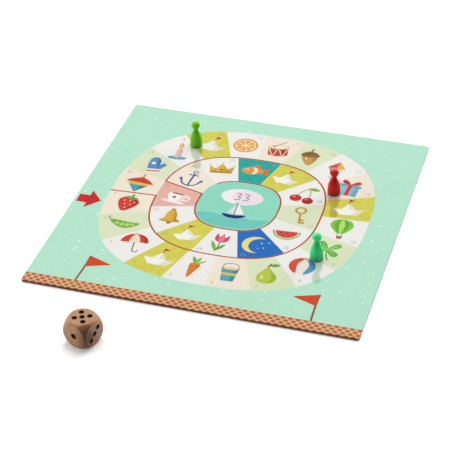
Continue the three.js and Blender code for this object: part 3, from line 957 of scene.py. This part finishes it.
def printed_sheet(name):
    """The sheet: the cut top, and the edge profile carried along both leaves' outlines, welded together.

    The left leaf's outline is the right one after half a turn. Three lines of points run along the fold,
    one on each side of its gap and one in its middle."""
    profile = edge_profile()
    rings = np.array([leaf_outline(inset) for inset, _ in profile])
    heights = np.broadcast_to(profile[:, 1][:, None, None], rings.shape[:2] + (1,))
    right_edge = np.concatenate([rings, heights], axis=2).reshape(-1, 3)
    left_edge = right_edge * (-1, -1, 1)
    end = half_board - edge_round
    fold_points = np.array([(x, y) for x in (-fold_face, 0, fold_face) for y in (-end, end)])
    fold_lines = [(0, 1), (2, 3), (4, 5)]
    flat, triangles, colours = cut_along_print(np.vstack([rings[0], -rings[0]]), fold_points, fold_lines)
    top = np.column_stack([flat, np.full(len(flat), board_top)])
    quads = np.vstack([grid_faces(*rings.shape[:2], start=len(top)),
                       grid_faces(*rings.shape[:2], start=len(top) + len(right_edge))])
    points, (triangles, quads) = weld(np.vstack([top, right_edge, left_edge]), [triangles, quads])
    sheet = mesh_object(name, points + np.array(board_middle) / MM, triangles.tolist() + quads.tolist(),
                        laminated)
    inks = np.zeros((len(sheet.data.polygons), 4), np.float32)
    inks[:len(colours)] = colours
    sheet.data.attributes.new("ink", "FLOAT_COLOR", "FACE").data.foreach_set("color", inks.ravel())
    sheet.data.polygons.foreach_set("use_smooth", np.arange(len(inks)) >= len(triangles))
    paper = sheet.modifiers.new("paper_thickness", "SOLIDIFY")
    paper.thickness = sheet_thickness * MM
    paper.offset = -1.0
    return sheet


sheet = printed_sheet("board_print")
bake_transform(sheet)
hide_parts("left_print_sheet", "right_print_sheet")

# %% [markdown]
# ## Card, tape and backing
# Inside are grey card, a woven tape along the fold and a plain backing paper beneath. They keep the shapes
# of the construction model and only need their finish. The backing shows on the folded board.

# %% Grey card, backing paper and hinge tape
wave_length = math.pi / 10  # one wave of a Wave texture whose scale is 1


def fibre_paper(name, light, dark, fibre_mm, roughness, weave_mm=0.0):
    """Uncoated paper, card or cloth: fibres of one width mix two tones, and a weave may cross them.

    Real fibres are a fiftieth of a millimetre wide. They are drawn as wide as their clumps, so that they
    show."""
    material, add = new_material(name)
    place = place_in_mm(add)
    fibres = add("TexNoise", {"Vector": place, "Scale": 1 / fibre_mm, "Detail": 6.0, "Distortion": 1.5})
    height = fibres
    if weave_mm:
        threads = [add("TexWave", {"Vector": place, "Scale": wave_length / weave_mm},
                       bands_direction=direction) for direction in ("X", "Y")]
        weave = add("Math", {0: threads[0].outputs["Fac"], 1: threads[1].outputs["Fac"]},
                    operation="MAXIMUM")
        height = add("Math", {0: weave, 1: fibres}, operation="MULTIPLY")
    spread = add("MapRange", {"Value": height, "From Min": 0.3, "From Max": 0.7})
    tone = add("Mix", {"Factor": spread, "A": linear(dark), "B": linear(light)}, data_type="RGBA")
    bump = add("Bump", {"Height": height, "Strength": 0.25, "Distance": 0.05 * MM})
    shader = add("BsdfPrincipled", {"Base Color": tone, "Roughness": roughness, "Normal": bump})
    add("OutputMaterial", {"Surface": shader})
    return material


inner_finishes = {
    "core": fibre_paper("grey_bookbinding_card", "#b1aa9e", "#8f897e", 0.8, 0.9),
    "backing_sheet": fibre_paper("uncoated_backing_paper", "#dedad1", "#cdc9be", 1.2, 0.7),
    "hinge_tape": fibre_paper("woven_hinge_tape", "#e6e1d6", "#b9b3a6", 0.6, 0.8, weave_mm=0.5),
}
for leaf in ("left", "right"):
    for piece, finish in inner_finishes.items():
        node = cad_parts[f"{leaf}_{piece}"]
        node.data.materials.clear()
        node.data.materials.append(finish)
print(f"finishes: {[finish.name for finish in inner_finishes.values()]}")

# %% [markdown]
# ## The pawns
# A pawn is turned on a lathe and dipped in lacquer, which fills the sharp corners a little. Its colour has
# painted shade at the foot and in the neck, and a painted highlight on the crown. The surface is a profile
# turned about an axis.
# Where neck and ball meet, a smooth maximum of the two radii gives the fillet that the lacquer leaves.

# %% Pawn profile and turned surface
pawn_height, foot_radius, foot_round, sole_gap = 27.2, 6.0, 1.2, 0.02
head_radius, neck_radius, neck_length, neck_fillet = 4.25, 2.45, 2.7, 0.9
bell_fullness, shoulder_rise, shoulder_width = 0.73, 0.83, 1.5
head_middle = pawn_height - head_radius
bell_top = head_middle - math.sqrt(head_radius ** 2 - neck_radius ** 2) - neck_length


def smooth_maximum(a, b, reach):
    """The larger of two values, with a round of a given reach where they cross."""
    overlap = np.maximum(reach - np.abs(a - b), 0) / reach
    return np.maximum(a, b) + overlap ** 2 * reach / 4


def pawn_profile():
    """Radius and height up the pawn: foot round, bell (a Bezier curve), neck, and the ball of the head.

    The sole stays a hair above the film, so that the two don't cut each other when the leaf turns."""
    quarter = np.linspace(0, np.pi / 2, 10)
    foot = np.stack([foot_radius - foot_round * (1 - np.sin(quarter)),
                     np.maximum(foot_round * (1 - np.cos(quarter)), sole_gap)], axis=1)
    t = np.linspace(0, 1, 60)[1:, None]
    rise = bell_top - foot_round
    ends = np.array([(foot_radius, foot_round),
                     (foot_radius, foot_round + bell_fullness * rise),
                     (shoulder_width * neck_radius, foot_round + shoulder_rise * rise),
                     (neck_radius, bell_top)])
    bell = ((1 - t) ** 3 * ends[0] + 3 * t * (1 - t) ** 2 * ends[1] + 3 * t ** 2 * (1 - t) * ends[2]
            + t ** 3 * ends[3])
    height = np.linspace(bell_top, head_middle, 40)[1:]
    ball = np.sqrt(np.maximum(head_radius ** 2 - (height - head_middle) ** 2, 0))
    neck_or_ball = smooth_maximum(np.full_like(height, neck_radius), ball, neck_fillet)
    neck = np.stack([neck_or_ball, height], axis=1)
    crown_angle = np.linspace(0, np.pi / 2, 24)[1:-1]
    crown = np.stack([head_radius * np.cos(crown_angle),
                      head_middle + head_radius * np.sin(crown_angle)], axis=1)
    return np.vstack([foot, bell, neck, crown])


def turned_surface(profile, segments):
    """A profile turned about the vertical axis, closed below and above by a point on the axis."""
    angle = np.linspace(0, 2 * np.pi, segments, endpoint=False)
    radius = profile[:, 0][:, None]
    height = np.broadcast_to(profile[:, 1][:, None], (len(profile), segments))
    rings = np.stack([radius * np.cos(angle), radius * np.sin(angle), height], axis=-1).reshape(-1, 3)
    index = np.arange(len(rings)).reshape(len(profile), segments)
    after = np.roll(index, -1, axis=1)
    quads = np.stack([index[:-1], after[:-1], after[1:], index[1:]], axis=-1).reshape(-1, 4)
    low, high = len(rings), len(rings) + 1
    sole = np.stack([after[0], index[0], np.full(segments, low)], axis=-1)
    crown = np.stack([index[-1], after[-1], np.full(segments, high)], axis=-1)
    points = np.vstack([rings, (0, 0, profile[0, 1]), (0, 0, pawn_height)])
    return points, quads.tolist() + sole.tolist() + crown.tolist()


pawn_points, pawn_faces = turned_surface(pawn_profile(), segments=96)
print(f"pawn surface: {len(pawn_points)} points")

# %% Pawn lacquer
# Reach of the painted shade at the foot and in the neck, and depth of the painted highlight on the crown.
foot_shade_height, neck_shade_reach, crown_highlight_depth = 7.0, 4.0, 1.8
cloud_width, turning_mark_pitch = 4.0, 0.7


def lacquer(name, light, dark, foot_height):
    """Coloured gloss lacquer on turned wood over turning marks, with painted shade at the foot and in the
    neck and a painted highlight on the crown.

    The marks stand further apart than a lathe tool leaves them, so that they show."""
    material, add = new_material(name)
    place = place_in_mm(add, (0, 0, foot_height * MM))
    axes = add("SeparateXYZ", {0: place})
    height = axes.outputs[2]
    # Painted shade: the colour darkens towards the foot, and in the neck under the head.
    foot_shade = add("MapRange", {"Value": height, "From Max": foot_shade_height, "To Min": 1.0, "To Max": 0.1})
    from_neck = add("Math", {0: height, 1: bell_top + neck_length / 2}, operation="SUBTRACT")
    beside_neck = add("Math", {0: from_neck}, operation="ABSOLUTE")
    neck_shade = add("MapRange", {"Value": beside_neck, "From Max": neck_shade_reach, "To Min": 0.8,
                               "To Max": 0.0})
    painted_shade = add("Math", {0: foot_shade, 1: neck_shade}, operation="MAXIMUM")
    cloud = add("TexNoise", {"Vector": place, "Scale": 1 / cloud_width, "Detail": 2.0})
    shade_amount = add("Math", {0: painted_shade, 1: cloud}, operation="MULTIPLY")
    tone = add("Mix", {"Factor": shade_amount, "A": linear(light), "B": linear(dark)}, data_type="RGBA")
    # A painted highlight: the crown is mixed towards a pale tone.
    crown_highlight = add("MapRange", {"Value": height, "From Min": pawn_height - crown_highlight_depth,
                            "From Max": pawn_height, "To Max": 0.18})
    shaded_and_lit = add("Mix", {"Factor": crown_highlight, "A": tone, "B": linear("#efdab4")}, data_type="RGBA")
    marks = add("TexWave", {"Vector": place, "Distortion": 0.6, "Scale": wave_length / turning_mark_pitch},
                bands_direction="Z")
    skin = add("Bump", {"Height": marks.outputs["Fac"], "Strength": 0.06, "Distance": 0.02 * MM})
    shader = add("BsdfPrincipled", {"Base Color": shaded_and_lit, "Roughness": 0.38, "IOR": 1.45,
                                    "Specular IOR Level": 0.4, "Coat Weight": 0.1, "Coat Roughness": 0.2,
                                    "Normal": skin})
    add("OutputMaterial", {"Surface": shader})
    return material


# Each pawn has its lacquer colour and a darker tone for the painted shade.
pawn_colours = {"lime": ("#7edc1a", "#56b010"), "red": ("#ea2022", "#9a080c"),
                "emerald": ("#46ff9a", "#088038")}
for colour, (light, dark) in pawn_colours.items():
    low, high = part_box(f"{colour}_pawn")
    middle = np.array([(low.x + high.x) / 2, (low.y + high.y) / 2, low.z]) / MM
    pawn = mesh_object(f"{colour}_lacquered_pawn", pawn_points + middle, pawn_faces,
                       lacquer(f"{colour}_gloss_lacquer", light, dark, middle[2]))
    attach(pawn, f"{colour}_pawn")
    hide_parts(f"{colour}_pawn")

# %% [markdown]
# ## The die
# The die is a hardwood cube whose corners were turned off against a ball, and its pips are drilled and
# blackened. A grid on each of the six sides is pushed out to the nearer of cube and ball, so that flat
# rounds and ball corners come from one formula. Each pip is a shallow dish in that surface.

# %% Die surface
die_low, die_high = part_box("wooden_die")
die_middle = (die_low + die_high) / 2
die_turn = -18.84
die_half, ball_radius, arris_round = 12.25, 16.6, 0.35
side_steps = 81
pip_radius, single_pip_radius, pip_depth, pip_pitch = 2.1, 2.5, 0.9, 4.5
pip_layouts = {1: [(0, 0)], 2: [(-1, -1), (1, 1)], 3: [(-1, -1), (0, 0), (1, 1)],
               4: [(-1, -1), (-1, 1), (1, -1), (1, 1)],
               5: [(-1, -1), (-1, 1), (0, 0), (1, -1), (1, 1)],
               6: [(-1, -1), (-1, 0), (-1, 1), (1, -1), (1, 0), (1, 1)]}
die_sides = [(5, (0, 0, 1), (1, 0, 0)), (2, (0, 0, -1), (1, 0, 0)), (3, (1, 0, 0), (0, 1, 0)),
             (4, (-1, 0, 0), (0, 1, 0)), (1, (0, -1, 0), (1, 0, 0)), (6, (0, 1, 0), (1, 0, 0))]


def die_side(pips, out, across):
    """One side as a grid of angles: the ray through each point ends at the nearer of cube and ball.

    A pip sinks its points by the depth times one minus the square of their share of the pip's radius."""
    out, across = np.array(out, float), np.array(across, float)
    up = np.cross(out, across)
    slope = np.tan(np.linspace(-np.pi / 4, np.pi / 4, side_steps))
    u, v = np.meshgrid(slope, slope, indexing="ij")
    rays = out + u[..., None] * across + v[..., None] * up
    length = np.linalg.norm(rays, axis=-1, keepdims=True)
    reach = -smooth_maximum(-die_half * length, np.full_like(length, -ball_radius), arris_round)
    points = rays / length * reach
    centres = np.array(pip_layouts[pips]) * pip_pitch
    radius = single_pip_radius if pips == 1 else pip_radius
    flat = np.stack([u, v], axis=-1)[..., None, :] * die_half
    distance = np.linalg.norm(flat - centres, axis=-1).min(axis=-1)
    dish = pip_depth * np.maximum(1 - (distance / radius) ** 2, 0)
    return (points - dish[..., None] * out).reshape(-1, 3), distance.ravel() - radius


def die_surface():
    """The six sides welded into one closed skin, turned about the vertical as the die lies."""
    sides = [die_side(*side) for side in die_sides]
    quads = [grid_faces(side_steps, side_steps, start=i * side_steps ** 2) for i in range(len(sides))]
    points = np.vstack([points for points, _ in sides])
    rim = np.concatenate([distance for _, distance in sides])
    _, first, owner = np.unique(np.round(points, 4), axis=0, return_index=True, return_inverse=True)
    points, rim = points[first], rim[first]
    points[:, :2] = turned(points[:, :2], die_turn)
    return points, owner.ravel()[np.vstack(quads)], rim


die_points, die_faces, pip_rim = die_surface()
print(f"die surface: {len(die_points)} points")

# %% Die wood: growth rings
ring_width, bend_width, ring_wander = 2.4, 8.0, 7.0
heart_place, heart_stretch = (15.0, -8.0, 1.0), 0.8
heart_inside, heart_outside = 8.0, 18.0
sapwood, heartwood, late_wood = "#c0926c", "#5e3516", "#84532f"


def growth_rings(add, place, grain):
    """The wood's colour before its pores, and its share of heartwood, from the distance to a dark heart.

    A long heart lies beside the die's front corner. The distance to it is bent by noise that runs with the
    grain, and the sine of that distance over the ring width gives the late wood of each year."""
    bend = add("TexNoise", {"Vector": grain, "Scale": 1 / bend_width, "Detail": 2.0})
    from_heart = add("VectorMath", {0: place, 1: heart_place}, operation="SUBTRACT")
    long_heart = add("VectorMath", {0: from_heart, 1: (1, 1, heart_stretch)}, operation="MULTIPLY")
    distance = add("VectorMath", {0: long_heart}, operation="LENGTH")
    wander = add("Math", {0: bend, 1: ring_wander, 2: distance}, operation="MULTIPLY_ADD")
    heart = add("MapRange", {"Value": wander, "From Min": heart_inside, "From Max": heart_outside,
                             "To Min": 1.0, "To Max": 0.0})
    aged = add("Mix", {"Factor": heart, "A": linear(sapwood), "B": linear(heartwood)}, data_type="RGBA")
    turns = add("Math", {0: wander, 1: 2 * math.pi / ring_width}, operation="MULTIPLY")
    wave = add("Math", {0: turns}, operation="SINE")
    late = add("MapRange", {"Value": wave, "From Min": 0.2, "From Max": 1.0, "To Max": 0.22})
    ringed = add("Mix", {"Factor": late, "A": aged, "B": linear(late_wood)}, data_type="RGBA")
    return ringed, heart


print("growth rings ready")

# %% Die wood: finish
fibre_width, along_grain = 0.7, 0.08
# The middle brown is the tone of the painted shade on the ball corners.
pore_brown, ball_shade_brown, pip_black = "#6d4429", "#40220c", "#0d0706"
pip_paint_inside, pip_paint_outside = 0.1, 0.3


def die_wood():
    """Sanded hardwood under a thin clear coat: upright fibres, rings round dark heartwood, black pips.

    The fibres are drawn three times as wide as real ones, so that they show."""
    material, add = new_material("clear_coated_hardwood")
    place = place_in_mm(add, die_middle, die_turn)
    grain = add("VectorMath", {0: place, 1: (1, 1, along_grain)}, operation="MULTIPLY")
    fibres = add("TexNoise", {"Vector": grain, "Scale": 1 / fibre_width, "Detail": 4.0})
    ringed, heart = growth_rings(add, place, grain)
    pores = add("MapRange", {"Value": fibres, "From Min": 0.38, "From Max": 0.55, "To Min": 0.4,
                             "To Max": 0.0})
    wood = add("Mix", {"Factor": pores, "A": ringed, "B": linear(pore_brown)}, data_type="RGBA")

    # Painted shade: on the ball corners the heartwood is painted darker than on the sanded flats.
    from_middle = add("VectorMath", {0: place}, operation="LENGTH")
    on_ball = add("MapRange", {"Value": from_middle, "From Min": ball_radius - arris_round / 3,
                               "From Max": ball_radius - arris_round / 9, "To Max": 0.7})
    ball_shade = add("Math", {0: on_ball, 1: heart}, operation="MULTIPLY")
    ball_shaded = add("Mix", {"Factor": ball_shade, "A": wood, "B": linear(ball_shade_brown)}, data_type="RGBA")

    # Paint fills each pip and runs a little over its rim, and is matt where the wood has a sheen.
    rim = add("Attribute", attribute_name="pip_rim")
    painted = add("MapRange", {"Value": rim.outputs["Fac"], "From Min": pip_paint_inside,
                               "From Max": pip_paint_outside, "To Min": 1.0, "To Max": 0.0})
    colour = add("Mix", {"Factor": painted, "A": ball_shaded, "B": linear(pip_black)}, data_type="RGBA")
    sheen = add("MapRange", {"Value": fibres, "To Min": 0.26, "To Max": 0.42})
    gloss = add("Math", {0: sheen, 1: painted}, operation="MAXIMUM")
    skin = add("Bump", {"Height": fibres, "Strength": 0.2, "Distance": 0.05 * MM})
    shader = add("BsdfPrincipled", {"Base Color": colour, "Roughness": gloss, "Specular IOR Level": 0.2,
                                    "Coat Weight": 0.15, "Coat Roughness": 0.15, "Normal": skin})
    add("OutputMaterial", {"Surface": shader})
    return material


die = mesh_object("hardwood_die", die_points + np.array(die_middle) / MM, die_faces, die_wood())
rim_values = die.data.attributes.new("pip_rim", "FLOAT", "POINT").data
rim_values.foreach_set("value", pip_rim.astype(np.float32))
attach(die, "die")
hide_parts("wooden_die")
